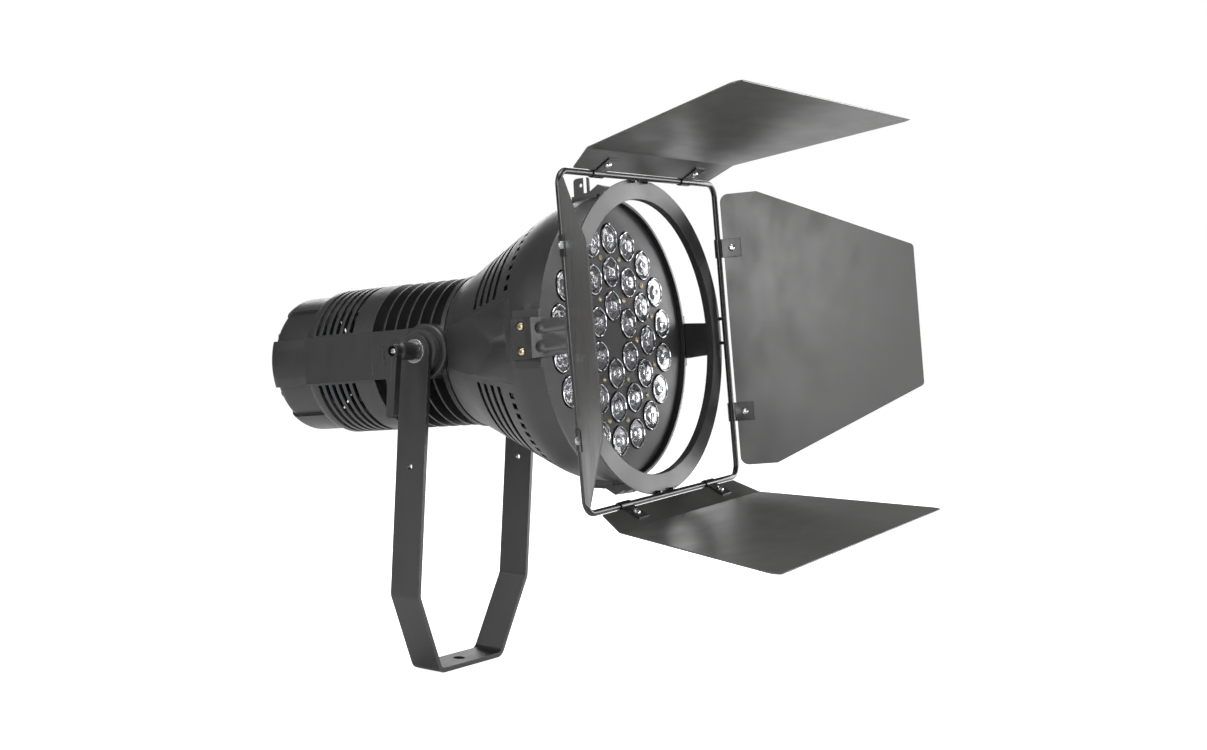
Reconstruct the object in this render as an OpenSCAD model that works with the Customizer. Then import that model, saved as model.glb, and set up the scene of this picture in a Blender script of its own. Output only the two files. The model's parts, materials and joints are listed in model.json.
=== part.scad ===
// LED par can light with a square-framed four-leaf barn door, a bent-bar yoke and two clamping levers.
// Origin: centre of the clamp hole on the underside of the yoke. +Z is up and the light shines along -Y.

/* [Yoke] */
// Width between the inner faces of the yoke legs
yoke_inner_width = 190; // [188:0.5:194]
// Width of the flat bar
bar_width = 35; // [30:1:40]
// Thickness of the flat bar
bar_thickness = 5; // [4:0.5:6]
// Half-width of the flat bottom, inside
yoke_foot_half = 53; // [45:1:60]
// Height of the lower end of the straight legs
yoke_bend_height = 84.5; // [70:0.5:100]
// Height of the tilt axis above the clamp face
pivot_height = 333; // [325:1:345]
// Radius of the clamp hole
clamp_hole_r = 6.5; // [5:0.25:7]

/* [Head] */
// Outer radius of the cylindrical body
body_r = 78.5; // [77:0.5:80]
// Outer radius of the front lip
lip_r = 144; // [142:0.5:146]
// Distance from the tilt axis to the front lip
lip_front = 179.5; // [178:0.5:182]
// Distance from the tilt axis to the rear face
rear_face = 221; // [215:1:230]
// Distance between neighbouring lenses along a ring radius
lens_pitch = 34; // [33.5:0.1:34.5]
// Tilt of the head at rest, front up
tilt_rest = 7; // [0:0.5:20]

/* [Barn door] */
// Half-size of the square wire frame, to the rod's centre
frame_half = 156.9; // [156:0.1:158]
// Radius of the frame rod
rod_r = 3; // [2.5:0.1:3]
// Outer radius of the door ring
ring_r = 156.3; // [155:0.1:157]
// Turn of the barn door at rest, about the light's axis
door_turn_rest = 2.95; // [0:0.05:5]
// Opening of the top leaf at rest, at its hinge
top_leaf_rest = 30.5; // [0:0.5:100]
// Opening of the bottom leaf at rest, at its hinge
bottom_leaf_rest = 31; // [0:0.5:100]
// Opening of the right leaf at rest
right_leaf_rest = 21; // [0:0.5:90]
// Opening of the left leaf at rest
left_leaf_rest = 53; // [0:0.5:90]
// Thickness of the leaves
leaf_t = 1.2; // [1:0.1:1.5]

/* [Clamping levers] */
// Distance from the tilt axis to the tip of the lever
lever_reach = 67; // [55:1:75]
// Radius of the lever's hub
hub_r = 9.25; // [8.5:0.25:10]

/* [Hidden] */
$fn = 96;
small_fn = 48;
eps = 0.01;

// Angles around the light's axis of the four sides, seen from the front
RIGHT = 0;
TOP = 90;
LEFT = 180;
BOTTOM = 270;

// Running gap of a turning or sliding fit, and gap between a turning face and its seat
fit_gap = 0.05;

// Yoke
yoke_outer_half = yoke_inner_width / 2 + bar_thickness;
pivot_hole_r = 5.3;
leg_hole_r = 2.75;
leg_hole_drop = 117;
bar_bend_r = 8;

// Stations along the light's axis, measured forward from the tilt axis
housing_front = -74.5;
housing_rear = -166;
collar_front = 23;
collar_r = 80;
groove_pitch = 15;
fin_t = 2.2;
fin_root_r = 64;
core_r = 58;
panel_half = 25;
panel_x = 77;
rear_slot_pitch = 9.26;
rear_slot_w = 4.8;
rear_slot_first = -150;
rear_slot_start = 20;
cap_r = 70.5;
cap_band_r = 73.5;
cap_panel_x = 74.5;
cap_fillet = 12;
wall = 3;

// Front of the head
plate_front = 174.5;
plate_t = 2.5;
plate_r = 140.4;
lens_front = 175.8;
lens_r = 14.8;
holder_r = 15.6;
board_front = 159.6;
board_r = 122;
pad_half = 27;
pad_face = 144.5;
bracket_screw_f = 160.6;
bracket_screw_half = 11.8;

// Pivot boss and discs
boss_r = 28;
boss_clearance = 0.3;
boss_face = 86;
disc_r = 21.5;
stud_r = 4.95;
stud_bore_r = 5;

// Lever, stations outward along the tilt axis
washer_r = 12;
washer_t = 2;
insert_r = 6;
lever_shoulder = 118.5;
lever_shoulder_t = 2;
lever_hub_end = 126;
lever_end = 137;
lever_neck_r = 6.2;
lever_arm_w = 11;
lever_arm_t = 8;

// Door ring and leaves
ring_face = 216.9;
ring_t = 1.5;
ring_inner_r = 136.4;
ring_depth = 8;
ring_lip_r = 142.3;
frame_f = 221.7;
frame_corner_r = 14;
leaf_start = 5.5;
leaf_length = 205;
side_leaf_half = 145.8;
side_leaf_straight = 45;
side_leaf_front_half = 74;
fold_s = 33.5;
fold_angle = 22;
hinge_half = 136;
fold_half = 149;
front_half = 206;
main_length = 183;
fold_r = 1.5;
clip_half = 88;
clip_w = 20;
clip_t = 1.2;
clip_length = 24;
clip_screw_s = 14.5;

// Menu buttons and rear panel, seen in the light's own axes
button_r = 3.5;
button_up = 21;
button_pitch = 12;
button_proud = 1.5;
socket_x = 17;
signal_up = -5;
power_up = -34;
socket_r = 11.5;

body_black = [0.16, 0.16, 0.17];
deep_black = [0.07, 0.07, 0.07];
sheet_grey = [0.24, 0.24, 0.25];
steel = [0.78, 0.79, 0.8];
brass = [0.8, 0.68, 0.45];

// ---------- Frames ----------

// Head's own axes: X to the side, Y up and Z forward along the light's axis
module head() {
    translate([0, 0, pivot_height]) rotate([90 - tilt_rest, 0, 0]) children();
}

module door() {
    head() rotate([0, 0, door_turn_rest]) children();
}

// A leaf's own axes: origin on the frame rod, X outward through the sheet, Z along the leaf
module leaf_axes(side, opening) {
    door() rotate([0, 0, side]) translate([frame_half, 0, frame_f]) rotate([0, opening, 0]) children();
}

// Tilt axis outward from the yoke's middle plane: Z outward, X down
module pivot_axes(side) {
    translate([0, 0, pivot_height]) mirror([side == LEFT ? 1 : 0, 0, 0]) rotate([0, 90, 0]) children();
}

// ---------- Shared shapes ----------

function unit(v) = v / norm(v);

// Points of an arc of radius r that rounds the corner at b
function corner_arc(a, b, c, r, steps = 6) =
    let (
        u = unit(a - b),
        v = unit(c - b),
        half = acos(u * v) / 2,
        centre = b + unit(u + v) * r / sin(half),
        p1 = b + u * r / tan(half) - centre,
        p2 = b + v * r / tan(half) - centre,
        start = atan2(p1[1], p1[0]),
        sweep = (atan2(p2[1], p2[0]) - start + 540) % 360 - 180
    )
    [for (i = [0:steps]) centre + r * [cos(start + sweep * i / steps), sin(start + sweep * i / steps)]];

// Closed outline whose corner i is rounded with radius radii[i]; 0 keeps it sharp
function rounded(points, radii) =
    let (n = len(points))
    [for (i = [0:n - 1])
        each radii[i] > 0
            ? corner_arc(points[(i + n - 1) % n], points[i], points[(i + 1) % n], radii[i])
            : [points[i]]];

module ring(r_out, r_in, f0, f1) {
    translate([0, 0, f0]) difference() {
        cylinder(h = f1 - f0, r = r_out);
        translate([0, 0, -1]) cylinder(h = f1 - f0 + 2, r = r_in);
    }
}

module ring_sector(r_out, r_in, f0, f1, start, angle) {
    translate([0, 0, f0]) rotate_extrude(start = start, angle = angle)
        translate([r_in, 0]) square([r_out - r_in, f1 - f0]);
}

// Open path whose inner corners are rounded with radius r
function bent_path(points, r) =
    let (last = len(points) - 1)
    concat(
        [points[0]],
        [for (i = [1:last - 1]) each corner_arc(points[i - 1], points[i], points[i + 1], r, 8)],
        [points[last]]);

// Where the corner between two lines moves to when both move t to their right
function mitre(a, b, c, t) =
    let (
        u = unit(b - a),
        v = unit(c - b),
        n1 = [u[1], -u[0]],
        n2 = [v[1], -v[0]]
    )
    b + (n1 + n2) * t / (1 + n1 * n2);

// Outline in the leaf's plane, given as [across, along], made into a sheet centred on it
module sheet(points, t = leaf_t) {
    rotate([90, 0, 90]) linear_extrude(t, center = true) polygon(points);
}

// Pan or button head screw along +Z, its head's underside at z = 0 and its shank below it
module screw(head_r, head_h, shank_r, shank_l, socket_r = 0) {
    difference() {
        union() {
            rotate_extrude($fn = small_fn) polygon(concat(
                [[0, 0], [head_r, 0]],
                [for (a = [15:15:60]) [head_r * cos(a), head_h * sin(a) / sin(60)]],
                [[0, head_h]]));
            translate([0, 0, -shank_l]) cylinder(h = shank_l + eps, r = shank_r, $fn = small_fn);
        }
        if (socket_r > 0)
            translate([0, 0, head_h * 0.4]) cylinder(h = head_h, r = socket_r, $fn = 6);
    }
}

function lens_places() = concat(
    [for (i = [0:5]) lens_pitch * [sin(i * 60), cos(i * 60)]],
    [for (i = [0:11]) 2 * lens_pitch * [sin(i * 30), cos(i * 30)]],
    [for (i = [0:17]) 3 * lens_pitch * [sin(i * 20), cos(i * 20)]]);

plate_screw_ring = 2.46 * lens_pitch;
plate_screw_inner = 1.36 * lens_pitch;
plate_screw_spread = 12.5;

function plate_screw_places() = concat(
    [for (i = [0:5], s = [-1, 1])
        plate_screw_ring * [sin(i * 60 + s * plate_screw_spread), cos(i * 60 + s * plate_screw_spread)]],
    [for (i = [0:5]) plate_screw_inner * [sin(30 + i * 60), cos(30 + i * 60)]]);

module at_places(places) {
    for (p = places) translate([p[0], p[1], 0]) children();
}

module on_sides(angles) {
    for (a = angles) rotate([0, 0, a]) children();
}

// ---------- Yoke ----------

module yoke_bar() {
    top = pivot_height + bar_width / 2;
    half = yoke_inner_width / 2;
    inner = [[half, top], [half, yoke_bend_height], [yoke_foot_half, bar_thickness],
        [-yoke_foot_half, bar_thickness], [-half, yoke_bend_height], [-half, top]];
    outer = concat(
        [[-yoke_outer_half, top]],
        [for (i = [4:-1:1]) mitre(inner[i - 1], inner[i], inner[i + 1], -bar_thickness)],
        [[yoke_outer_half, top]]);
    rotate([90, 0, 0]) linear_extrude(bar_width, center = true)
        polygon(concat(bent_path(inner, bar_bend_r), bent_path(outer, bar_bend_r + bar_thickness)));
}

// What is cut away to round the top of both legs about the tilt axis
module leg_top_cut() {
    half = bar_width / 2;
    translate([-yoke_outer_half - 1, 0, pivot_height]) rotate([90, 0, 90])
        linear_extrude(2 * yoke_outer_half + 2) polygon(concat(
            [for (a = [0:7.5:180]) half * [cos(a), sin(a)]],
            [[-half - 1, 0], [-half - 1, half + 1], [half + 1, half + 1], [half + 1, 0]]));
}

module yoke() {
    color(body_black) difference() {
        yoke_bar();
        leg_top_cut();
        translate([0, 0, -1]) cylinder(h = bar_thickness + 2, r = clamp_hole_r);
        for (s = [-1, 1]) translate([s * (yoke_inner_width / 2 - 1), 0, pivot_height]) {
            rotate([0, s * 90, 0]) cylinder(h = bar_thickness + 2, r = pivot_hole_r);
            translate([0, 0, -leg_hole_drop]) rotate([0, s * 90, 0])
                cylinder(h = bar_thickness + 2, r = leg_hole_r, $fn = small_fn);
        }
    }
}

// ---------- Rear of the head ----------

module rounded_can(r, f_rear, f_front) {
    rotate_extrude() polygon(concat(
        [[0, f_front], [0, f_rear]],
        [for (a = [0:15:90]) [r - cap_fillet + cap_fillet * sin(a), f_rear + cap_fillet * (1 - cos(a))]],
        [[r, f_front]]));
}

module side_band(x, f0, f1) {
    translate([-x, -panel_half, f0]) cube([2 * x, 2 * panel_half, f1 - f0]);
}

module rear_panel_holes() {
    translate([0, 0, -rear_face - 1]) {
        for (i = [0:3])
            translate([(i - 1.5) * button_pitch, button_up, 0])
                cylinder(h = wall + 2, r = button_r + fit_gap, $fn = small_fn);
        for (x = [-socket_x, socket_x], up = [signal_up, power_up])
            translate([x, up, 0]) cylinder(h = wall + 2, r = socket_r);
        translate([-20, 33, 0]) cube([40, 12, wall + 2]);
    }
}

rear_screw_ring = 62;
rear_screw_angles = [30, 150, 210, 330];
rear_screw_sink = 1.5;
rear_post_r = 4.2;
rear_opening_r = 56;

module rear_cap() {
    color(body_black) head() difference() {
        union() {
            rounded_can(cap_r, -rear_face, housing_rear);
            intersection() {
                rounded_can(cap_panel_x + 1.5, -rear_face, housing_rear);
                side_band(cap_panel_x, -rear_face, housing_rear);
            }
            intersection() {
                rounded_can(cap_band_r, -rear_face, housing_rear);
                for (s = [-1, 1]) rotate([0, 0, s * 90])
                    translate([0, 0, -rear_face]) linear_extrude(rear_face + housing_rear)
                        polygon([[0, 0], [80, -62], [80, 62]]);
            }
        }
        translate([0, 0, -rear_face + wall])
            cylinder(h = rear_face + housing_rear - wall + 1, r = cap_r - wall);
        rear_panel_holes();
        on_sides(rear_screw_angles) translate([rear_screw_ring, 0, -rear_face - 1]) {
            cylinder(h = wall + 2, r = 2.1, $fn = small_fn);
            cylinder(h = rear_screw_sink + 1, r = 4.4, $fn = small_fn);
        }
    }
}

module rear_screws() {
    color(steel) head() on_sides(rear_screw_angles)
        translate([rear_screw_ring, 0, rear_screw_sink - rear_face]) rotate([180, 0, 0])
            screw(3.8, 2.2, 1.9, 9, 1.4);
}

rear_chamfer = [2.5, 6];
front_opening_r = 62.5;
rib_crown = 0.15;

// Line along the rear ribs at radius r, each rib a touch higher in its middle than at its slots
function crowned_ribs(r) = [for (i = [0:5]) each [
    [r, rear_slot_first + (i - 0.5) * rear_slot_pitch],
    [r - rib_crown, rear_slot_first + i * rear_slot_pitch]
]];

module rear_housing() {
    color(body_black) head() difference() {
        intersection() {
            union() {
                rotate_extrude() polygon(concat(
                    [[0, housing_front], [0, housing_rear], [body_r - rear_chamfer[0], housing_rear],
                        [body_r, housing_rear + rear_chamfer[1]]],
                    crowned_ribs(body_r),
                    [[body_r, housing_front]]));
                side_band(body_r + 5, housing_rear, housing_front);
            }
            translate([-panel_x, -body_r - 1, housing_rear - 1])
                cube([2 * panel_x, 2 * body_r + 2, housing_front - housing_rear + 2]);
        }
        intersection() {
            rotate_extrude() polygon(concat(
                [[0, housing_front - wall], [0, housing_rear + wall], [body_r - wall, housing_rear + wall]],
                crowned_ribs(body_r - wall),
                [[body_r - wall, housing_front - wall]]));
            translate([-panel_x + wall, -body_r, housing_rear])
                cube([2 * (panel_x - wall), 2 * body_r, housing_front - housing_rear]);
        }
        translate([0, 0, housing_rear - 1]) cylinder(h = wall + 2, r = rear_opening_r);
        translate([0, 0, housing_front - wall - 1]) cylinder(h = wall + 2, r = front_opening_r);
        for (i = [0:5], half_turn = [0, 180])
            ring_sector(body_r + 5, body_r - wall - 3,
                rear_slot_first + i * rear_slot_pitch - rear_slot_w / 2,
                rear_slot_first + i * rear_slot_pitch + rear_slot_w / 2,
                half_turn + rear_slot_start, 180 - 2 * rear_slot_start);
    }
    color(body_black) head() on_sides(rear_screw_angles) difference() {
        translate([rear_screw_ring, 0, wall - rear_face])
            cylinder(h = housing_rear + rear_face - wall + 1, r = rear_post_r, $fn = small_fn);
        translate([rear_screw_ring, 0, -rear_face]) cylinder(h = 14, r = 2, $fn = small_fn);
    }
}

// ---------- Finned middle ----------

fan_post_half = 41.25;
fan_post_r = 3.5;
fan_front = -95;

module heat_sink() {
    color(body_black) head() difference() {
        union() {
            translate([0, 0, housing_front])
                cylinder(h = collar_front - groove_pitch / 2 - housing_front, r = fin_root_r);
            for (i = [0:4])
                translate([0, 0, 1 - i * groove_pitch - fin_t / 2]) cylinder(h = fin_t, r = body_r - 0.5);
            intersection() {
                side_band(panel_x, housing_front, 16);
                translate([0, 0, housing_front]) cylinder(h = 16 - housing_front, r = body_r + 4);
            }
            for (s = [-1, 1]) rotate([0, s * 90, 0]) {
                translate([0, 0, core_r + 2]) cylinder(h = boss_face - 1.5 - core_r - 2, r = boss_r);
                translate([0, 0, boss_face - 1.5]) cylinder(h = 1.5, r1 = boss_r, r2 = boss_r - 1.5);
            }
            translate([0, 0, 15.5]) cylinder(h = 5, r = collar_r);
            translate([0, 0, 20.5]) cylinder(h = collar_front - 20.5, r = collar_r - 2);
            for (x = [-fan_post_half, fan_post_half], up = [-fan_post_half, fan_post_half])
                translate([x, up, fan_front]) cylinder(h = housing_front - fan_front + 4, r = fan_post_r);
        }
        translate([0, 0, housing_front - 1]) cylinder(h = collar_front - housing_front + 2, r = core_r);
        for (s = [-1, 1]) rotate([0, s * 90, 0])
            translate([0, 0, core_r + 12]) cylinder(h = boss_face, r = stud_bore_r);
    }
}

module friction_disc(side) {
    color(deep_black) translate([0, 0, pivot_height]) rotate([0, side == LEFT ? -90 : 90, 0])
        ring(disc_r, pivot_hole_r, boss_face, yoke_inner_width / 2 - 0.3);
}

// ---------- Flare and its fittings ----------

flare_corners = [[collar_r, collar_front], [82, 30], [140.5, 144.8], [lip_r, lip_front]];

// Outline of the flare's skin, drawn in by d
function flare_line(d) = concat(
    [[flare_corners[0][0] - d, flare_corners[0][1]]],
    corner_arc(flare_corners[0] - [d, 0], flare_corners[1] - [d, 0], flare_corners[2] - [d, 0], 40),
    corner_arc(flare_corners[1] - [d, 0], flare_corners[2] - [d, 0], flare_corners[3] - [d, 0], 100, 8),
    [flare_corners[3] - [d, 0]]);

flare_slots = [74.5, 86, 98, 110];
flare_slot_w = 5.5;
flare_slot_start = 20;
flare_slot_end = 72;
vent_f = 129.5;
vent_size = 6.6;
vent_first = 23;
vent_step = 4.9;
vent_count = 10;
wedge_rear = [30, 20];
wedge_front = [134, 41];
wedge_rear_x = 86;
wedge_front_x = 135.2;
wedge_end_f = 142;
dimple_r = 8;
dimple_tilt = 7;

// A wedge's flat face, cut to a cone so that its corners sink into the flare towards the front
module wedge_blank() {
    intersection() {
        rotate([90, 0, 0]) linear_extrude(100, center = true) polygon([
            [60, wedge_rear[0]], [wedge_rear_x, wedge_rear[0]],
            [wedge_front_x, wedge_front[0]], [wedge_front_x, wedge_end_f], [100, wedge_end_f]]);
        rotate([90, 0, 90]) linear_extrude(200) polygon([
            [-wedge_rear[1], wedge_rear[0]], [wedge_rear[1], wedge_rear[0]],
            [wedge_front[1], wedge_front[0]], [wedge_front[1] - 2, wedge_end_f],
            [2 - wedge_front[1], wedge_end_f], [-wedge_front[1], wedge_front[0]]]);
        rotate_extrude() polygon([
            [0, wedge_rear[0] - 1], [91, wedge_rear[0] - 1], [136.6, wedge_front[0]],
            [137.2, wedge_end_f + 1], [0, wedge_end_f + 1]]);
    }
}

module flare_housing() {
    wedge_slope = atan2(wedge_front_x - wedge_rear_x, wedge_front[0] - wedge_rear[0]);
    dimple_f = 108;
    dimple_x = wedge_rear_x + (dimple_f - wedge_rear[0]) * tan(wedge_slope);
    color(body_black) head() difference() {
        union() {
            rotate_extrude() polygon(concat([[0, collar_front]], flare_line(0), [[0, lip_front]]));
            on_sides([RIGHT, LEFT]) wedge_blank();
            on_sides([RIGHT, TOP, LEFT, BOTTOM])
                translate([pad_face - 12, -pad_half, 150.5]) cube([12, 2 * pad_half, lip_front - 150.5]);
        }
        difference() {
            rotate_extrude() polygon(concat([[0, collar_front + wall]], flare_line(wall), [[0, lip_front]]));
            ring(lip_r, 134, plate_front - plate_t - 6, plate_front - plate_t);
            ring(collar_r, 62, collar_front, collar_front + 4.5);
        }
        translate([0, 0, plate_front - plate_t]) cylinder(h = 20, r = lip_r - wall);
        translate([0, 0, collar_front - 1]) cylinder(h = 10, r = 62);
        for (f = flare_slots, quarter = [0, 1], half_turn = [0, 180])
            ring_sector(150, 60, f - flare_slot_w / 2, f + flare_slot_w / 2,
                half_turn + (quarter == 0 ? flare_slot_start : 180 - flare_slot_end),
                flare_slot_end - flare_slot_start);
        for (i = [0:vent_count - 1], s = [-1, 1], half_turn = [0, 180])
            rotate([0, 0, half_turn + s * (vent_first + i * vent_step)])
                translate([120, -vent_size / 2, vent_f - vent_size / 2]) cube([30, vent_size, vent_size]);
        on_sides([RIGHT, LEFT]) rotate([0, 90, 0])
            translate([0, 0, core_r]) cylinder(h = boss_face, r = boss_r + boss_clearance);
        on_sides([RIGHT, LEFT])
            translate([dimple_x, 0, dimple_f]) rotate([0, wedge_slope - dimple_tilt, 0])
                translate([dimple_r, 0, -20]) cylinder(h = 49, r = dimple_r);
        on_sides([RIGHT, TOP, LEFT, BOTTOM])
            for (s = [-1, 1]) translate([pad_face - 8, s * bracket_screw_half, bracket_screw_f])
                rotate([0, 90, 0]) cylinder(h = 10, r = 1.9, $fn = small_fn);
    }
}

module lens_plate() {
    color(body_black) head() difference() {
        translate([0, 0, plate_front - plate_t]) cylinder(h = plate_t, r = plate_r);
        translate([0, 0, plate_front - plate_t - 1]) {
            at_places(lens_places()) cylinder(h = plate_t + 2, r = holder_r + 0.3, $fn = small_fn);
            at_places(plate_screw_places()) cylinder(h = plate_t + 2, r = 1.7, $fn = small_fn);
        }
    }
}

module lens_plate_screws() {
    color(brass) head() at_places(plate_screw_places())
        translate([0, 0, plate_front]) screw(2.9, 1.6, 1.5, 12, 1.1);
}

lens_back = 161.5;

module lenses() {
    color([0.9, 0.95, 1, 0.5]) head() at_places(lens_places())
        rotate_extrude($fn = small_fn) polygon([
            [0, lens_back + 4], [3.4, lens_back + 4], [3.8, lens_back], [5.5, lens_back],
            [11, lens_front - 6], [lens_r - 0.6, lens_front - 2], [lens_r, lens_front - 1.6],
            [lens_r, lens_front], [9, lens_front], [4, lens_front - 0.8], [0, lens_front - 1]]);
}

module lens_holders() {
    hex_r = 16.4;
    color(steel) head() at_places(lens_places()) difference() {
        intersection() {
            translate([0, 0, board_front]) cylinder(h = lens_front - board_front, r = holder_r, $fn = small_fn);
            rotate([0, 0, 30]) translate([0, 0, board_front])
                cylinder(h = lens_front - board_front, r = hex_r, $fn = 6);
        }
        translate([0, 0, lens_back - 0.5]) cylinder(h = 20, r = lens_r + 0.04, $fn = small_fn);
        translate([0, 0, board_front - 1]) cylinder(h = 5, r = 7, $fn = small_fn);
    }
}

module led_board() {
    color([0.85, 0.85, 0.82]) head() difference() {
        translate([0, 0, board_front - 1.6]) cylinder(h = 1.6, r = board_r);
        translate([0, 0, board_front - 3])
            at_places(plate_screw_places()) cylinder(h = 5, r = 1.9, $fn = small_fn);
    }
}

module led_chips() {
    color([0.95, 0.85, 0.4]) head() at_places(lens_places()) {
        translate([-1.75, -1.75, board_front]) cube([3.5, 3.5, 0.9]);
        translate([0, 0, board_front + 0.9 - eps]) cylinder(h = 0.6, r1 = 1.4, r2 = 0.7, $fn = small_fn);
    }
}

module board_heat_sink() {
    disc_front = board_front - 1.6;
    disc_t = 6;
    fin_count = 24;
    post_ring = 68;
    color([0.7, 0.71, 0.72]) head() {
        translate([0, 0, disc_front - disc_t]) cylinder(h = disc_t, r = board_r + 2);
        for (i = [0:fin_count - 1]) rotate([0, 0, (i + 0.5) * 360 / fin_count])
            translate([30, -0.8, 120]) cube([62, 1.6, disc_front - disc_t - 120 + eps]);
        on_sides([45, 135, 225, 315])
            translate([post_ring, 0, collar_front + 4.5])
                cylinder(h = disc_front - disc_t - collar_front - 4.5 + eps, r = 4, $fn = small_fn);
    }
}

// ---------- Fan and electronics ----------

fan_half = 46;
fan_depth = 25;
rotor_r = 41;
fan_rear = fan_front - fan_depth;

module fan_frame() {
    color(deep_black) head() {
        difference() {
            translate([0, 0, fan_rear]) linear_extrude(fan_depth)
                polygon(rounded([[-fan_half, -fan_half], [fan_half, -fan_half],
                    [fan_half, fan_half], [-fan_half, fan_half]], [4, 4, 4, 4]));
            translate([0, 0, fan_rear - 1]) cylinder(h = fan_depth + 2, r = rotor_r + 1.5);
        }
        difference() {
            union() {
                translate([0, 0, fan_rear]) cylinder(h = 3, r = 17);
                for (a = [45:90:315]) rotate([0, 0, a])
                    translate([16, -2, fan_rear]) cube([rotor_r - 13, 4, 3]);
                translate([0, 0, fan_rear]) cylinder(h = 12, r = 4, $fn = small_fn);
            }
            translate([0, 0, fan_rear - 1]) cylinder(h = 20, r = 1.5 + fit_gap, $fn = small_fn);
        }
    }
}

module fan_rotor() {
    hub_rear = fan_rear + 4;
    hub_front = fan_front - 1;
    blade_count = 7;
    color([0.1, 0.1, 0.1]) head() {
        difference() {
            translate([0, 0, hub_rear]) cylinder(h = hub_front - hub_rear, r = 17);
            translate([0, 0, hub_rear - 1]) cylinder(h = hub_front - hub_rear - 1, r = 15.5);
        }
        translate([0, 0, fan_rear + 0.5]) cylinder(h = hub_front - fan_rear - 1, r = 1.5, $fn = small_fn);
        for (i = [0:blade_count - 1]) rotate([0, 0, i * 360 / blade_count])
            translate([16.6, 0, (hub_rear + hub_front) / 2]) rotate([38, 0, 0])
                translate([0, -12, -0.8]) cube([rotor_r - 18.4, 24, 1.6]);
    }
}

module power_supply() {
    color([0.16, 0.4, 0.2]) head() {
        translate([-44, -34, -70]) cube([88, 2, 84]);
        for (x = [-36, 36], f = [-62, 6])
            translate([x, -34 - 7, f]) rotate([-90, 0, 0]) cylinder(h = 7 + eps, r = 3, $fn = small_fn);
        translate([-30, -32 - eps, -60]) cube([34, 26, 30]);
        translate([-32, -32 - eps, -20]) cube([26, 20, 24]);
        for (f = [-50, -30, -10])
            translate([24, -32 - eps, f]) rotate([-90, 0, 0]) cylinder(h = 28, r = 8, $fn = small_fn);
    }
}

module control_board() {
    board_f = -208;
    color([0.12, 0.35, 0.18]) head() {
        difference() {
            translate([-34, 12, board_f]) cube([68, 36, 1.6]);
            for (s = [-1, 1]) translate([s * 30, 44, board_f - 1]) cylinder(h = 4, r = 1.6, $fn = small_fn);
        }
        for (i = [0:3]) translate([(i - 1.5) * button_pitch - 3, button_up - 3, board_f - 4])
            cube([6, 6, 4 + eps]);
        translate([-19, 33.5, -rear_face + wall]) cube([38, 11, board_f + rear_face - wall + eps]);
    }
}

module display_window() {
    color([0.35, 0.05, 0.05]) head() translate([-19.8, 33.2, -rear_face]) cube([39.6, 11.6, wall]);
}

module menu_button(i) {
    color(steel) head() translate([(i - 1.5) * button_pitch, button_up, 0]) {
        translate([0, 0, -rear_face - button_proud])
            cylinder(h = wall + button_proud + fit_gap + eps, r = button_r, $fn = small_fn);
        translate([0, 0, -rear_face + wall + fit_gap]) cylinder(h = 1.2, r = button_r + 1, $fn = small_fn);
        translate([0, 0, -rear_face + wall + fit_gap]) cylinder(h = 4.8, r = 1.5, $fn = small_fn);
    }
}

module socket(x, up, bore_r, depth) {
    head() translate([x, up, -rear_face]) difference() {
        union() {
            translate([0, 0, -2]) cylinder(h = 2, r = socket_r + 2.5);
            translate([0, 0, -2]) cylinder(h = depth, r = socket_r - 0.2);
        }
        translate([0, 0, -3]) cylinder(h = depth - 2, r = bore_r);
        for (s = [-1, 1]) translate([s * (socket_r + 0.6), 0, -3])
            cylinder(h = 1.4, r = 0.9, $fn = small_fn);
    }
}

module socket_pins(x, up, spread, count, r) {
    head() for (i = [0:count - 1])
        translate([x + spread * cos(90 + i * 360 / count), up + spread * sin(90 + i * 360 / count),
            -rear_face + 1]) cylinder(h = 15, r = r, $fn = small_fn);
}

module power_socket(x, key_up) {
    color([0.2, 0.3, 0.6]) {
        socket(x, power_up, 9, 20);
        socket_pins(x, power_up, 4.6, 3, 1.6);
        head() translate([x - 1.5, power_up + key_up * 8.2 - 1, -rear_face]) cube([3, 2, 17]);
    }
}

module signal_socket(x, pin_r) {
    color(deep_black) {
        socket(x, signal_up, 8, 22);
        socket_pins(x, signal_up, 4.2, 3, pin_r);
    }
}

// ---------- Barn door brackets ----------

bracket_w = 38;
bracket_tip_w = 33;
arm_foot_f = 214.7;
foot_t = 3.7;
crest_f = 177;
crest_x = 155;
flute_x = 158.5;
flute_half = 8.8;
flute_r = 10;
flute_f = 189;

module bracket(side) {
    color(body_black) head() rotate([0, 0, side]) difference() {
        union() {
            intersection() {
                rotate([90, 0, 0]) linear_extrude(60, center = true) polygon([
                    [pad_face, 150], [147.4, 150], [148.2, 166], [crest_x, crest_f], [151, 186],
                    [149.8, 200], [149.8, arm_foot_f], [138.4, arm_foot_f],
                    [138.4, arm_foot_f - foot_t], [pad_face, arm_foot_f - foot_t]]);
                rotate([90, 0, 90]) linear_extrude(200) polygon([
                    [-bracket_w / 2, 150], [bracket_w / 2, 150], [bracket_w / 2, crest_f],
                    [bracket_tip_w / 2, arm_foot_f], [-bracket_tip_w / 2, arm_foot_f],
                    [-bracket_w / 2, crest_f]]);
            }
            if (side == TOP) translate([0, 15.5, 0]) eye_plate();
        }
        for (s = [-1, 1]) {
            translate([flute_x, s * flute_half, flute_f]) sphere(r = flute_r);
            translate([flute_x, s * flute_half, flute_f]) cylinder(h = 40, r = flute_r);
            translate([pad_face - 1, s * bracket_screw_half, bracket_screw_f]) rotate([0, 90, 0])
                cylinder(h = 10, r = 2.2, $fn = small_fn);
            translate([pad_face + 2.2, s * bracket_screw_half, bracket_screw_f]) rotate([0, 90, 0])
                cylinder(h = 20, r = 5, $fn = small_fn);
        }
    }
}

eye_x = 156.7;
eye_f = 155.2;

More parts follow.
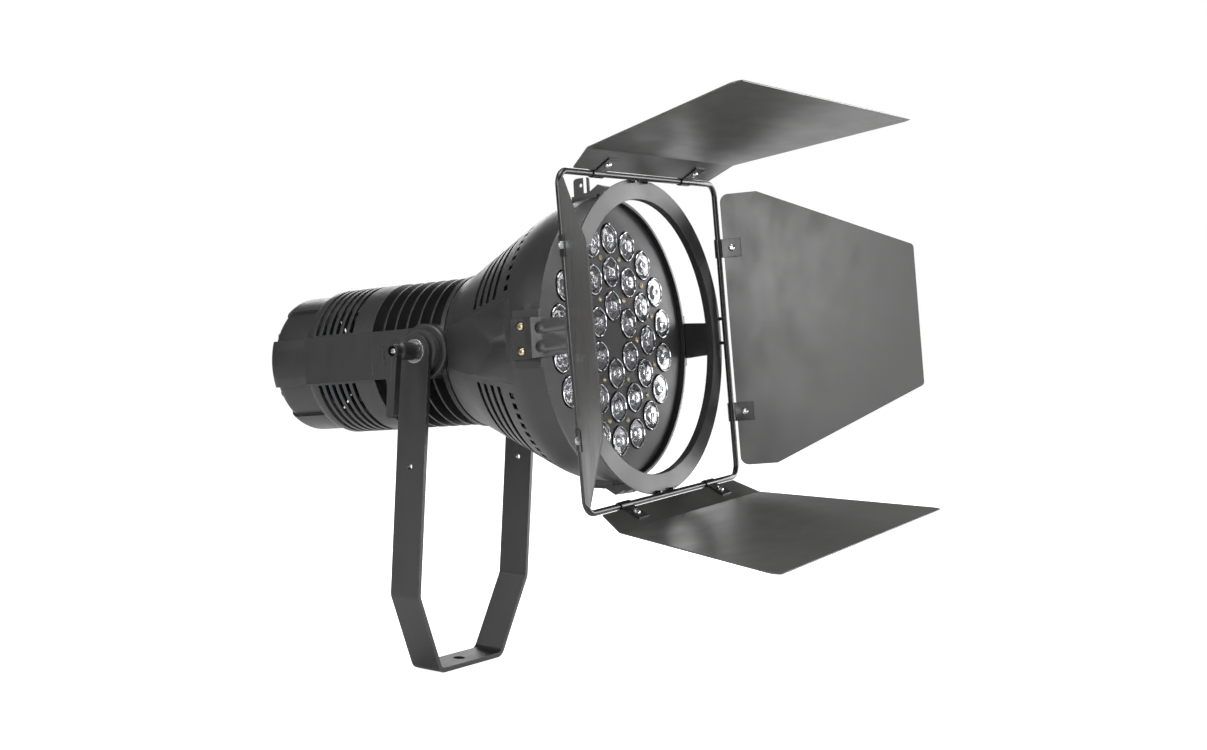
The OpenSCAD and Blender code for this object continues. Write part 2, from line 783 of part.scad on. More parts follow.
module eye_plate() {
    rotate([90, 0, 0]) linear_extrude(2, center = true) difference() {
        polygon(rounded([[146, 147], [164, 147], [164, 165], [146, 165]], [0, 4, 2, 0]));
        translate([eye_x, eye_f]) circle(r = 2, $fn = small_fn);
    }
}

module bracket_screws() {
    color(brass) head() on_sides([RIGHT, TOP, LEFT, BOTTOM])
        for (s = [-1, 1]) translate([pad_face + 2.2, s * bracket_screw_half, bracket_screw_f])
            rotate([0, 90, 0]) screw(3.9, 2.2, 1.8, 9.5);
}

// ---------- Barn door ----------

module door_ring() {
    color(sheet_grey) door() {
        ring(ring_r, ring_inner_r, ring_face - ring_t, ring_face);
        ring(ring_inner_r + ring_t, ring_inner_r, ring_face - ring_depth, ring_face);
        ring(ring_lip_r, ring_inner_r, ring_face - ring_depth, ring_face - ring_depth + ring_t);
    }
}

module door_frame() {
    straight = frame_half - frame_corner_r;
    weld_half = 13;
    color(deep_black) door() on_sides([RIGHT, TOP, LEFT, BOTTOM]) {
        translate([frame_half, 0, frame_f]) rotate([90, 0, 0])
            cylinder(h = 2 * straight, r = rod_r, center = true, $fn = small_fn);
        translate([straight, straight, frame_f]) rotate_extrude(angle = 90)
            translate([frame_corner_r, 0]) circle(r = rod_r, $fn = small_fn);
        for (s = [-1, 1]) translate([frame_half - 3.2, s * weld_half, ring_face])
            cylinder(h = frame_f - ring_face, r = 1.8, $fn = small_fn);
    }
}

module side_leaf(side, opening) {
    color(sheet_grey) leaf_axes(side, opening) difference() {
        sheet(rounded([
            [-side_leaf_half, leaf_start], [side_leaf_half, leaf_start],
            [side_leaf_half, side_leaf_straight], [side_leaf_front_half, leaf_length],
            [-side_leaf_front_half, leaf_length], [-side_leaf_half, side_leaf_straight]
        ], [9, 9, 4, 5, 5, 4]));
        clip_holes();
    }
}

// Side view of a folded leaf: X outward, Y along it
module folded_profile() {
    half = leaf_t / 2;
    root = [0, leaf_start];
    fold = [0, fold_s];
    tip = fold + main_length * [-sin(fold_angle), cos(fold_angle)];
    across = half * [cos(fold_angle), sin(fold_angle)];
    outer = [root + [half, 0], mitre(root, fold, tip, half), tip + across];
    inner = [tip - across, mitre(root, fold, tip, -half), root - [half, 0]];
    polygon(concat(bent_path(outer, fold_r + leaf_t), bent_path(inner, fold_r)));
}

module folded_leaf(side, opening) {
    tip_s = fold_s + main_length * cos(fold_angle);
    color(sheet_grey) leaf_axes(side, opening) difference() {
        intersection() {
            rotate([90, 0, 0]) linear_extrude(2 * front_half + 2, center = true) folded_profile();
            translate([-main_length, 0, 0]) rotate([90, 0, 90]) linear_extrude(main_length + 10)
                polygon(rounded([
                    [-hinge_half, leaf_start - 1], [hinge_half, leaf_start - 1], [fold_half, fold_s],
                    [front_half, tip_s + 1], [-front_half, tip_s + 1], [-fold_half, fold_s]
                ], [1.5, 1.5, 0, 8, 8, 0]));
        }
        clip_holes();
    }
}

module clip_holes() {
    for (s = [-1, 1]) translate([-5, s * clip_half, clip_screw_s]) rotate([0, 90, 0])
        cylinder(h = 10, r = 2.1, $fn = small_fn);
}

module hinge_clips(side, opening) {
    color(deep_black) leaf_axes(side, opening) difference() {
        for (s = [-1, 1]) translate([0, s * clip_half, 0]) difference() {
            union() {
                rotate([90, 0, 0])
                    cylinder(h = clip_w, r = rod_r + fit_gap + clip_t, center = true, $fn = small_fn);
                for (face = [-1, 1])
                    translate([face * (leaf_t + clip_t) / 2 - clip_t / 2, -clip_w / 2, rod_r])
                        cube([clip_t, clip_w, clip_length - rod_r]);
            }
            rotate([90, 0, 0])
                cylinder(h = clip_w + 2, r = rod_r + fit_gap, center = true, $fn = small_fn);
            translate([-leaf_t / 2, -clip_w, 0]) cube([leaf_t, 2 * clip_w, clip_length + 1]);
        }
        clip_holes();
    }
}

module clip_screws(side, opening) {
    face = leaf_t / 2 + clip_t;
    color(steel) leaf_axes(side, opening)
        for (s = [-1, 1]) translate([0, s * clip_half, clip_screw_s]) {
            translate([-face, 0, 0]) rotate([0, -90, 0]) screw(3.8, 2.3, 1.95, 7.5, 1.5);
            translate([face, 0, 0]) rotate([0, 90, 0]) difference() {
                cylinder(h = 3.2, r = 4, $fn = 6);
                translate([0, 0, -1]) cylinder(h = 5.2, r = 2, $fn = small_fn);
            }
        }
}

// ---------- Clamping levers ----------

module lever_insert(side) {
    color(steel) pivot_axes(side) difference() {
        union() {
            translate([0, 0, 72]) cylinder(h = yoke_outer_half + washer_t + fit_gap - 72 + eps, r = stud_r);
            translate([0, 0, yoke_outer_half + washer_t + fit_gap])
                cylinder(h = lever_shoulder - 0.5 - yoke_outer_half - washer_t - fit_gap, r = insert_r);
        }
        translate([0, 0, lever_shoulder - 12]) cylinder(h = 13, r = 2, $fn = small_fn);
    }
}

module pivot_washer(side) {
    color([0.9, 0.9, 0.92]) pivot_axes(side)
        ring(washer_r, stud_r + 0.1, yoke_outer_half + fit_gap, yoke_outer_half + fit_gap + washer_t);
}

module lever_handle(side) {
    hub_start = yoke_outer_half + washer_t + 0.5;
    spring_bore_r = 5.2;
    arm_start = lever_end - 1 - lever_arm_t;
    color(deep_black) pivot_axes(side) difference() {
        union() {
            translate([0, 0, hub_start]) cylinder(h = lever_hub_end - hub_start, r = hub_r);
            translate([0, 0, lever_hub_end - eps]) cylinder(h = 3, r1 = hub_r, r2 = lever_neck_r + 0.6);
            translate([0, 0, lever_hub_end]) cylinder(h = lever_end - lever_hub_end, r = lever_neck_r + 0.5);
            translate([0, 0, arm_start]) linear_extrude(lever_arm_t)
                polygon(rounded([
                    [-2, -lever_arm_w / 2], [lever_reach, -lever_arm_w / 2 + 1],
                    [lever_reach, lever_arm_w / 2 - 1], [-2, lever_arm_w / 2]
                ], [0, 4, 4, 0]));
        }
        translate([0, 0, hub_start - 1])
            cylinder(h = lever_shoulder - hub_start + 1, r = insert_r + fit_gap);
        translate([0, 0, lever_shoulder - 1]) cylinder(h = 10, r = 2.6, $fn = small_fn);
        translate([0, 0, lever_shoulder + lever_shoulder_t]) cylinder(h = 30, r = spring_bore_r);
    }
}

module lever_screw(side) {
    head_under = lever_end - 5.5;
    color(steel) pivot_axes(side) translate([0, 0, head_under])
        screw(4.4, 4.2, 1.95, head_under - lever_shoulder + 11, 2);
}

module lever_spring(side) {
    spring_start = lever_shoulder + lever_shoulder_t;
    spring_end = lever_end - 5.5;
    turns = 4;
    pitch = (spring_end - spring_start) / turns;
    color(steel) pivot_axes(side) for (i = [0:turns - 1])
        translate([0, 0, spring_start + (i + 0.5) * pitch])
            rotate_extrude($fn = small_fn) translate([3.8, 0]) circle(r = 0.45, $fn = 24);
}

// ---------- Nodes ----------

yoke();
rear_cap();
rear_housing();
heat_sink();
flare_housing();
lens_plate();
lenses();
lens_holders();
lens_plate_screws();
led_board();
led_chips();
board_heat_sink();
fan_frame();
fan_rotor();
power_supply();
control_board();
display_window();
menu_button(0);  // menu_button_1
menu_button(1);  // menu_button_2
menu_button(2);  // menu_button_3
menu_button(3);  // menu_button_4
power_socket(-socket_x, 1);  // power_inlet
power_socket(socket_x, -1);  // power_outlet
signal_socket(-socket_x, 1.2);  // signal_inlet
signal_socket(socket_x, 1.5);  // signal_outlet
rear_screws();
friction_disc(LEFT);  // friction_disc_left
friction_disc(RIGHT);  // friction_disc_right
bracket(LEFT);  // bracket_left
bracket(RIGHT);  // bracket_right
bracket(BOTTOM);  // bracket_bottom
bracket(TOP);  // bracket_top
bracket_screws();
door_ring();
door_frame();
folded_leaf(TOP, top_leaf_rest);  // leaf_top
folded_leaf(BOTTOM, bottom_leaf_rest);  // leaf_bottom
side_leaf(LEFT, left_leaf_rest);  // leaf_left
side_leaf(RIGHT, right_leaf_rest);  // leaf_right
hinge_clips(TOP, top_leaf_rest);  // hinge_clips_top
hinge_clips(BOTTOM, bottom_leaf_rest);  // hinge_clips_bottom
hinge_clips(LEFT, left_leaf_rest);  // hinge_clips_left
hinge_clips(RIGHT, right_leaf_rest);  // hinge_clips_right
clip_screws(TOP, top_leaf_rest);  // clip_screws_top
clip_screws(BOTTOM, bottom_leaf_rest);  // clip_screws_bottom
clip_screws(LEFT, left_leaf_rest);  // clip_screws_left
clip_screws(RIGHT, right_leaf_rest);  // clip_screws_right
lever_insert(LEFT);  // lever_insert_left
lever_handle(LEFT);  // lever_handle_left
lever_screw(LEFT);  // lever_screw_left
lever_spring(LEFT);  // lever_spring_left
pivot_washer(LEFT);  // pivot_washer_left
lever_insert(RIGHT);  // lever_insert_right
lever_handle(RIGHT);  // lever_handle_right
lever_screw(RIGHT);  // lever_screw_right
lever_spring(RIGHT);  // lever_spring_right
pivot_washer(RIGHT);  // pivot_washer_right
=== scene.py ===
import json
import math
import random

import bmesh
import bpy
from mathutils import Matrix, Vector

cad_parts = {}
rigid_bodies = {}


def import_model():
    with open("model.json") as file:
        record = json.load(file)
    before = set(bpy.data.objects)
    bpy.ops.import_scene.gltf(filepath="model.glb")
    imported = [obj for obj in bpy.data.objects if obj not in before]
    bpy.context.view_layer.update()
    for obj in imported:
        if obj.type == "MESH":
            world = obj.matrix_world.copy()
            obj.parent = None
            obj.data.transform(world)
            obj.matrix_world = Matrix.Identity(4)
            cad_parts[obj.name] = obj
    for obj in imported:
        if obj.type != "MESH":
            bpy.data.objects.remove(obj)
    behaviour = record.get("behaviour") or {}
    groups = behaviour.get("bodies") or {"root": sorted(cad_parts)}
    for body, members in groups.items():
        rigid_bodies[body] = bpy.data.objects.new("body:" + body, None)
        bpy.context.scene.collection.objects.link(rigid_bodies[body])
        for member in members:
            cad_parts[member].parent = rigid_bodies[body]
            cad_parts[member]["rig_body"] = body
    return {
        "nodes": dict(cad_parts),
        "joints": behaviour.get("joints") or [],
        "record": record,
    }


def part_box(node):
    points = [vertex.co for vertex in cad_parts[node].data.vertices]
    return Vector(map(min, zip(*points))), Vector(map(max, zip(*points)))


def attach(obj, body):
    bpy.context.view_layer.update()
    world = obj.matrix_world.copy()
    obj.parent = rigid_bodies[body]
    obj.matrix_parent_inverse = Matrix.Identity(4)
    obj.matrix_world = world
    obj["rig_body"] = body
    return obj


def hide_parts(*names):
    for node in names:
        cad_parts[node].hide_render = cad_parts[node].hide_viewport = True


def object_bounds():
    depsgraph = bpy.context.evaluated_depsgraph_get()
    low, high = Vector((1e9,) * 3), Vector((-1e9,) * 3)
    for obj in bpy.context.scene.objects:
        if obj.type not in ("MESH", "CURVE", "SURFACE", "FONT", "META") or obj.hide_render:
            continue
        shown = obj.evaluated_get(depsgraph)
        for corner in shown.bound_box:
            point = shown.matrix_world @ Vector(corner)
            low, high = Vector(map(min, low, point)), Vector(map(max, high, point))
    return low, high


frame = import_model()
cad_lo, cad_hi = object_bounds()
MM = 0.001
SEED = 7
random.seed(SEED)

joints = {j["name"]: j for j in frame["joints"]}
tilt_axis = Vector(joints["head_tilt"]["pos_m"])
light_axis = Vector(joints["fan_spin"]["axis"])
side_axis = Vector((1, 0, 0))
up_axis = light_axis.cross(side_axis).normalized()
if up_axis.z < 0:
    up_axis.negate()
# The head's own axes: X to the side, Y up, Z forward along the light's axis
HEAD = Matrix.Translation(tilt_axis) @ Matrix((side_axis, up_axis, light_axis)).transposed().to_4x4()


def head_span(node, axis):
    """Lowest and highest place of a CAD node along one of the head's own axes, in metres."""
    to_head = HEAD.inverted()
    places = [(to_head @ v.co)[axis] for v in frame["nodes"][node].data.vertices]
    return min(places), max(places)


# ---------- Materials ----------


class Nodes:
    """A node tree being built: add() makes a node, sets its inputs and links sockets given as inputs."""

    def __init__(self, name):
        self.material = bpy.data.materials.new(name)
        self.material.use_nodes = True
        self.tree = self.material.node_tree
        self.tree.nodes.clear()
        self.output = self.add("ShaderNodeOutputMaterial")

    def add(self, kind, inputs=None, **settings):
        node = self.tree.nodes.new(kind)
        for key, value in settings.items():
            setattr(node, key, value)
        for key, value in (inputs or {}).items():
            if isinstance(value, bpy.types.NodeSocket):
                self.tree.links.new(value, node.inputs[key])
            else:
                node.inputs[key].default_value = value
        return node

    def noise(self, vector, scale, detail=2.0, roughness=0.5):
        return self.add("ShaderNodeTexNoise", {
            "Vector": vector, "Scale": scale, "Detail": detail, "Roughness": roughness,
        }).outputs["Fac"]

    def remap(self, value, low, high, to_low, to_high):
        return self.add("ShaderNodeMapRange", {
            "Value": value, "From Min": low, "From Max": high, "To Min": to_low, "To Max": to_high,
        }).outputs["Result"]

    def mix_colour(self, factor, a, b, blend="MIX"):
        node = self.add("ShaderNodeMix", data_type="RGBA", blend_type=blend)
        for index, value in ((0, factor), (6, a), (7, b)):
            if isinstance(value, bpy.types.NodeSocket):
                self.tree.links.new(value, node.inputs[index])
            else:
                node.inputs[index].default_value = value
        return node.outputs[2]

    def math(self, operation, a, b=0.0):
        node = self.add("ShaderNodeMath", operation=operation)
        for index, value in ((0, a), (1, b)):
            if isinstance(value, bpy.types.NodeSocket):
                self.tree.links.new(value, node.inputs[index])
            else:
                node.inputs[index].default_value = value
        return node.outputs[0]


def grey(level, warmth=0.0):
    return (level * (1 + warmth), level, level * (1 - warmth), 1)


WORN_EDGE = (0.3, 0.3, 0.31, 1)


def coated(name, base, roughness, grain_mm, grain_height, mottle=0.25, wear=0.25, edge_mm=0.5,
           coat=0.0, specular=0.5):
    """Paint or powder coat: grain in the bump, slow mottling, rubbed marks in the gloss, paler worn edges."""
    n = Nodes(name)
    at = n.add("ShaderNodeTexCoord").outputs["Object"]
    soft_edge = n.add("ShaderNodeBevel", {"Radius": edge_mm * MM}, samples=4).outputs["Normal"]
    flat = n.add("ShaderNodeNewGeometry").outputs["Normal"]
    facing = n.add("ShaderNodeVectorMath", {0: soft_edge, 1: flat}, operation="DOT_PRODUCT").outputs["Value"]
    edge = n.remap(facing, 0.995, 0.85, 0.0, 1.0)
    patches = n.noise(at, 9.0, 4.0, 0.6)
    fine = n.noise(at, 1 / (grain_mm * MM), 2.0, 0.55)
    chips = n.remap(n.noise(at, 140.0, 3.0, 0.6), 0.48, 0.62, 0.0, 1.0)
    dark = (base[0] * (1 - mottle), base[1] * (1 - mottle), base[2] * (1 - mottle), 1)
    pale = (base[0] * (1 + mottle), base[1] * (1 + mottle), base[2] * (1 + mottle), 1)
    colour = n.mix_colour(n.remap(patches, 0.3, 0.7, 0.0, 1.0), dark, pale)
    speck = n.remap(fine, 0.3, 0.7, 0.85, 1.15)
    colour = n.mix_colour(1.0, colour, n.add("ShaderNodeCombineColor", {
        "Red": speck, "Green": speck, "Blue": speck}).outputs["Color"], "MULTIPLY")
    worn_amount = n.math("MULTIPLY", n.math("MULTIPLY", edge, chips), wear)
    colour = n.mix_colour(worn_amount, colour, WORN_EDGE)
    streaks = n.add("ShaderNodeMapping", {"Vector": at, "Scale": (14, 40, 22)}).outputs["Vector"]
    smear = n.noise(streaks, 1.0, 3.0)
    gloss = n.math("ADD", n.remap(fine, 0.3, 0.7, -0.03, 0.03),
                   n.remap(smear, 0.3, 0.7, roughness - 0.05, roughness + 0.06))
    bump = n.add("ShaderNodeBump", {
        "Strength": 1.0, "Distance": grain_height * MM, "Height": fine, "Normal": soft_edge,
    }).outputs["Normal"]
    shader = n.add("ShaderNodeBsdfPrincipled", {
        "Base Color": colour, "Roughness": gloss, "Normal": bump,
        "Specular IOR Level": specular, "Coat Weight": coat, "Coat Roughness": 0.25,
    })
    n.tree.links.new(shader.outputs[0], n.output.inputs[0])
    return n.material


def metal(name, base, roughness, brush_scale=(400, 400, 400), dirt=0.35, edge_mm=0.15):
    """Bare or plated metal: fine brushing, darker dirt in slow patches, softened edges."""
    n = Nodes(name)
    at = n.add("ShaderNodeTexCoord").outputs["Object"]
    soft_edge = n.add("ShaderNodeBevel", {"Radius": edge_mm * MM}, samples=4).outputs["Normal"]
    stretched = n.add("ShaderNodeMapping", {"Vector": at, "Scale": brush_scale}).outputs["Vector"]
    brushed = n.noise(stretched, 4.0, 2.0)
    patches = n.noise(at, 60.0, 3.0, 0.6)
    dull = (base[0] * (1 - dirt), base[1] * (1 - dirt), base[2] * (1 - dirt), 1)
    colour = n.mix_colour(n.remap(patches, 0.35, 0.65, 0.0, 1.0), dull, (*base[:3], 1))
    gloss = n.math("ADD", n.remap(brushed, 0.3, 0.7, -0.05, 0.05),
                   n.remap(patches, 0.3, 0.7, roughness + 0.06, roughness - 0.03))
    bump = n.add("ShaderNodeBump", {
        "Strength": 0.5, "Distance": 0.02 * MM, "Height": brushed, "Normal": soft_edge,
    }).outputs["Normal"]
    shader = n.add("ShaderNodeBsdfPrincipled", {
        "Base Color": colour, "Roughness": gloss, "Metallic": 1.0, "Normal": bump,
    })
    n.tree.links.new(shader.outputs[0], n.output.inputs[0])
    return n.material


def glassy(name, tint, roughness=0.02):
    """Clear moulded plastic with a faint ripple and a few smudges."""
    n = Nodes(name)
    at = n.add("ShaderNodeTexCoord").outputs["Object"]
    ripple = n.noise(at, 260.0, 1.0)
    bump = n.add("ShaderNodeBump", {
        "Strength": 0.25, "Distance": 0.03 * MM, "Height": ripple,
    }).outputs["Normal"]
    smudge = n.remap(n.noise(at, 45.0, 3.0, 0.65), 0.4, 0.75, roughness, roughness + 0.08)
    shader = n.add("ShaderNodeBsdfPrincipled", {
        "Base Color": tint, "Roughness": smudge, "Normal": bump, "IOR": 1.49, "Transmission Weight": 1.0,
    })
    n.tree.links.new(shader.outputs[0], n.output.inputs[0])
    return n.material


def moulded(name, base, roughness, coat=0.0):
    """Moulded plastic: a fine grain and little wear."""
    return coated(name, base, roughness, 0.35, 0.02, mottle=0.12, wear=0.12, edge_mm=0.35, coat=coat)


def board(name):
    """Solder-masked circuit board: copper tracks showing faintly under a glossy mask."""
    n = Nodes(name)
    at = n.add("ShaderNodeTexCoord").outputs["Object"]
    tracks = n.add("ShaderNodeTexVoronoi", {"Vector": at, "Scale": 320.0}, distance="CHEBYCHEV",
                   feature="DISTANCE_TO_EDGE").outputs["Distance"]
    on_track = n.remap(tracks, 0.03, 0.07, 1.0, 0.0)
    colour = n.mix_colour(on_track, (0.01, 0.09, 0.035, 1), (0.05, 0.2, 0.08, 1))
    bump = n.add("ShaderNodeBump", {
        "Strength": 0.6, "Distance": 0.05 * MM, "Height": on_track,
    }).outputs["Normal"]
    shader = n.add("ShaderNodeBsdfPrincipled", {
        "Base Color": colour, "Roughness": n.remap(tracks, 0.0, 0.2, 0.3, 0.45), "Normal": bump,
    })
    n.tree.links.new(shader.outputs[0], n.output.inputs[0])
    return n.material


LOOKS = {
    "body_coat": coated("body_powder_coat", grey(0.011), 0.42, 0.45, 0.018, wear=0.3, edge_mm=0.7),
    "yoke_coat": coated("yoke_powder_coat", grey(0.012), 0.38, 0.5, 0.02, wear=0.3, edge_mm=0.7),
    "plate_coat": coated("lens_plate_coat", grey(0.034), 0.5, 0.4, 0.02, wear=0.1, edge_mm=0.3),
    "leaf_sheet": coated("leaf_enamel", grey(0.03, 0.04), 0.36, 0.7, 0.012, mottle=0.15, wear=0.2, edge_mm=0.3,
                         specular=1.0),
    "door_sheet": coated("ring_enamel", grey(0.01), 0.42, 0.55, 0.012, wear=0.4, edge_mm=0.4, specular=0.7),
    "black_steel": coated("black_enamel", grey(0.008), 0.26, 0.6, 0.012, wear=0.5, edge_mm=0.3),
    "lever_black": coated("lever_black_grain", grey(0.01), 0.42, 0.3, 0.03, wear=0.15, edge_mm=0.5),
    "screw_steel": metal("zinc_plated_steel", (0.72, 0.73, 0.75), 0.18),
    "brass_screw": metal("yellow_passivated_steel", (0.6, 0.5, 0.33), 0.28),
    "bare_aluminium": metal("cut_aluminium", (0.62, 0.63, 0.65), 0.32, brush_scale=(60, 60, 900)),
    "lens_clear": glassy("clear_optic", (0.97, 0.98, 1.0, 1)),
    "holder_bright": metal("optic_reflector", (0.8, 0.79, 0.82), 0.06, dirt=0.15, edge_mm=0.2),
    "board_white": moulded("white_solder_mask", grey(0.62), 0.35),
    "led_phosphor": moulded("led_phosphor", (0.8, 0.62, 0.12, 1), 0.3),
    "black_plastic": moulded("moulded_black", grey(0.012), 0.38),
    "friction_fibre": coated("friction_fibre", grey(0.02), 0.85, 0.25, 0.05, wear=0.0),
    "circuit_board": board("circuit_board_green"),
    "display_red": moulded("smoked_red_window", (0.05, 0.004, 0.005, 1), 0.08, coat=0.6),
    "button_grey": moulded("button_grey", grey(0.3), 0.45),
    "power_plastic": moulded("socket_blue", (0.01, 0.035, 0.16, 1), 0.34),
}

slot_of = {s["node"]: s["material_slot"] for s in frame["record"]["subparts"]}
for node, obj in frame["nodes"].items():
    obj.data.materials.clear()
    obj.data.materials.append(LOOKS[slot_of[node]])


# ---------- Detailed pieces ----------


def new_piece(name, mesh, node_names, body=None, slot=None):
    """A piece standing for CAD nodes: it rides on their body, takes the material of their slot and hides them.
    """
    first = node_names[0]
    slot = slot or slot_of[first]
    piece = bpy.data.objects.new(name, mesh)
    bpy.context.scene.collection.objects.link(piece)
    if not mesh.materials:
        mesh.materials.append(LOOKS[slot])
    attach(piece, body or frame["nodes"][first]["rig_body"])
    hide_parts(*node_names)
    return piece


def soften(node, name, width_mm, segments=2, sharp_deg=32):
    """The CAD node's shape with its triangles merged into flat faces and its sharp edges rounded."""
    bm = bmesh.new()
    bm.from_mesh(frame["nodes"][node].data)
    bmesh.ops.remove_doubles(bm, verts=bm.verts, dist=0.002 * MM)
    bmesh.ops.dissolve_limit(bm, angle_limit=math.radians(0.6), verts=bm.verts, edges=bm.edges)
    mesh = bpy.data.meshes.new(name)
    bm.to_mesh(mesh)
    bm.free()
    for polygon in mesh.polygons:
        polygon.use_smooth = True
    mesh.set_sharp_from_angle(angle=math.radians(sharp_deg))
    piece = new_piece(name, mesh, [node])
    bevel = piece.modifiers.new("round_edges", "BEVEL")
    bevel.width = width_mm * MM
    bevel.segments = segments
    bevel.limit_method = "ANGLE"
    bevel.angle_limit = math.radians(sharp_deg)
    bevel.use_clamp_overlap = True
    bevel.harden_normals = True
    return piece


def mesh_of(name, bm, smooth_deg=35):
    """A finished mesh from bm, smooth but for the edges sharper than smooth_deg."""
    bmesh.ops.recalc_face_normals(bm, faces=bm.faces)
    mesh = bpy.data.meshes.new(name)
    bm.to_mesh(mesh)
    bm.free()
    for polygon in mesh.polygons:
        polygon.use_smooth = True
    mesh.set_sharp_from_angle(angle=math.radians(smooth_deg))
    return mesh


def loft(bm, rings, close_start=True, close_end=True):
    """Joins rings of points, each with the same count, into a skin."""
    loops = [[bm.verts.new(p) for p in ring] for ring in rings]
    count = len(loops[0])
    for low, high in zip(loops, loops[1:]):
        for i in range(count):
            bm.faces.new((low[i], low[(i + 1) % count], high[(i + 1) % count], high[i]))
    if close_start:
        bm.faces.new(loops[0][::-1])
    if close_end:
        bm.faces.new(loops[-1])


def circle(radius, z, count, turn=0.0, shape=lambda angle: 1.0):
    """Points round the Z axis; shape scales the radius by angle, in radians."""
    angles = [turn + 2 * math.pi * i / count for i in range(count)]
    return [Vector((radius * shape(t) * math.cos(t), radius * shape(t) * math.sin(t), z)) for t in angles]


def tube(bm, points, radius, sides=10):
    """A round wire through points, closed at both ends."""
    rings = []
    for i, p in enumerate(points):
        ahead = (points[min(i + 1, len(points) - 1)] - points[max(i - 1, 0)]).normalized()
        side = ahead.orthogonal().normalized() if i == 0 else (side - ahead * side.dot(ahead)).normalized()
        over = ahead.cross(side)
        rings.append([p + side * radius * math.cos(2 * math.pi * k / sides)
                      + over * radius * math.sin(2 * math.pi * k / sides) for k in range(sides)])
    loft(bm, rings)


def copies(mesh, placements, name):
    """One mesh holding mesh at each placement."""
    bm = bmesh.new()
    for placement in placements:
        start = len(bm.verts)
        bm.from_mesh(mesh)
        bm.verts.ensure_lookup_table()
        bmesh.ops.transform(bm, matrix=placement, verts=bm.verts[start:])
    joined = bpy.data.meshes.new(name)
    bm.to_mesh(joined)
    bm.free()
    return joined


# ---------- Optics ----------

lens_radius = 14.8
rim_radius = 15.2
lens_front = head_span("lenses", 2)[1] / MM
plate_front = head_span("lens_plate", 2)[1] / MM
lens_pitch = (head_span("lenses", 1)[1] / MM - lens_radius) / 3
RING_COUNTS = (6, 12, 18)


def lens_places():
    """Centre of each optic in the head's own axes."""
    for ring, count in enumerate(RING_COUNTS, 1):
        for i in range(count):
            angle = 2 * math.pi * i / count
            yield Vector((ring * lens_pitch * math.sin(angle), ring * lens_pitch * math.cos(angle), 0))


def six_sided(angle):
    """Radius of a softened hexagon with a corner at the top, as a share of its corner radius."""
    local = (angle - math.pi / 2) % (math.pi / 3) - math.pi / 6
    return 0.7 + 0.3 * math.cos(math.pi / 6) / math.cos(local)


def head_copies(mesh, name, places, turns=None):
    """Copies of a mesh drawn in millimetres, one at each place given in the head's own axes."""
    turns = turns or [0.0] * len(places)
    unit = Matrix.Scale(MM, 4)
    return copies(mesh, [HEAD @ unit @ Matrix.Translation(p) @ Matrix.Rotation(t, 4, "Z")
                         for p, t in zip(places, turns)], name)


def reflector_cup():
    """One optic's six-sided funnel: a rounded bright rim, flat facets and a round well over the chip."""
    bm = bmesh.new()
    rim_top = lens_front + 0.5
    section = [(rim_radius, lens_front - 4), (rim_radius, lens_front), (rim_radius - 0.25, rim_top - 0.12),
               (rim_radius - 0.6, rim_top), (rim_radius - 1.0, rim_top - 0.15),
               (rim_radius - 1.2, lens_front - 0.5), (rim_radius - 1.25, lens_front - 1.6)]
    loft(bm, [circle(r, z, 48, 0.0, six_sided) for r, z in section], False, False)
    facets = [(rim_radius - 1.25, lens_front - 1.6), (9.0, lens_front - 5.0), (4.6, lens_front - 9.6)]
    loft(bm, [circle(r, z, 6, math.pi / 2) for r, z in facets], False, False)
    well = [(4.9, lens_front - 9.0), (4.6, lens_front - 8.7), (4.3, lens_front - 9.0),
            (4.0, lens_front - 12.5), (3.4, lens_front - 13.4)]
    loft(bm, [circle(r, z, 32) for r, z in well], False, True)
    return mesh_of("reflector_cup", bm, 12)


def clear_lens():
    """One clear front: a thin flat disc with a low round lens over the well."""
    bm = bmesh.new()
    edge = rim_radius - 1.35
    outside = [(edge, lens_front - 1.1), (edge, lens_front - 0.5), (edge - 0.3, lens_front - 0.3),
               (4.8, lens_front - 0.3), (4.2, lens_front - 0.05), (2.4, lens_front + 0.3),
               (0.9, lens_front + 0.4)]
    under = [(0.9, lens_front - 1.3), (edge - 0.3, lens_front - 1.3), (edge, lens_front - 1.1)]
    loft(bm, [circle(r, z, 48, 0.0, six_sided) for r, z in under + outside])
    bmesh.ops.remove_doubles(bm, verts=bm.verts, dist=0.001)
    return mesh_of("clear_lens", bm, 30)


